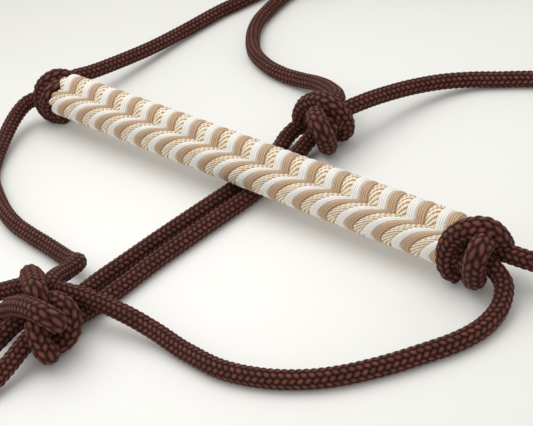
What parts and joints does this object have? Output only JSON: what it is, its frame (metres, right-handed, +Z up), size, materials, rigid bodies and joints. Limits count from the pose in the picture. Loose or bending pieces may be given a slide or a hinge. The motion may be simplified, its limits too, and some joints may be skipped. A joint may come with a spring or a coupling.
{
  "type": "rope halter",
  "caption": "Knotted rope halter laid flat, with a braided noseband, chin, jaw, throat and cheek ropes, lead loops, a tie loop and a coiled crown strap.",
  "frame": {"origin": "centre of the laid-out halter's bounding box, on the table that it lies on", "axes": "+X along the noseband from the off side to the near side, +Y towards the poll, +Z up from the table"},
  "size_m": [0.2941, 0.429, 0.0247],
  "materials": {
    "halter_rope": "matte braided polyester sheath, dark brown",
    "braid_white": "satin flat cord, off-white",
    "braid_tan": "satin flat cord, tan",
    "braid_gold": "satin flat cord, gold flecked with white"
  },
  "bodies": {
    "halter": {"nose_knot_off": "halter_rope", "nose_knot_near": "halter_rope", "throat_knot": "halter_rope", "fiador_knot": "halter_rope", "cheek_knot_off": "halter_rope", "cheek_knot_near": "halter_rope", "crown_end_knot": "halter_rope", "noseband_core_poll": "halter_rope", "noseband_core_chin": "halter_rope", "braid_cord_white": "braid_white", "braid_cord_tan": "braid_tan", "braid_cord_gold": "braid_gold", "chin_rope_off": "halter_rope", "chin_rope_near": "halter_rope", "jaw_strand_off": "halter_rope", "jaw_strand_near": "halter_rope", "throat_rope_off": "halter_rope", "throat_rope_near": "halter_rope", "cheek_rope_off": "halter_rope", "cheek_rope_near": "halter_rope", "crown_strand_a": "halter_rope", "crown_strand_b": "halter_rope", "crown_coil": "halter_rope", "crown_tail_a": "halter_rope", "crown_tail_b": "halter_rope"},
    "lead_loops": {"lead_loop_outer": "halter_rope", "lead_loop_inner": "halter_rope"},
    "tie_loop": {"tie_loop": "halter_rope"}
  },
  "joints": [
    {"name": "lead_loops_lift", "type": "hinge", "parent": "halter", "child": "lead_loops", "pos_m": [-0.0222, -0.1403, 0.008], "axis": [-0.8729, 0.4878, 0], "range_deg": [0, 100]},
    {"name": "tie_loop_lift", "type": "hinge", "parent": "halter", "child": "tie_loop", "pos_m": [0.1068, 0.1189, 0.0032], "axis": [1, 0, 0], "range_deg": [0, 100]}
  ]
}
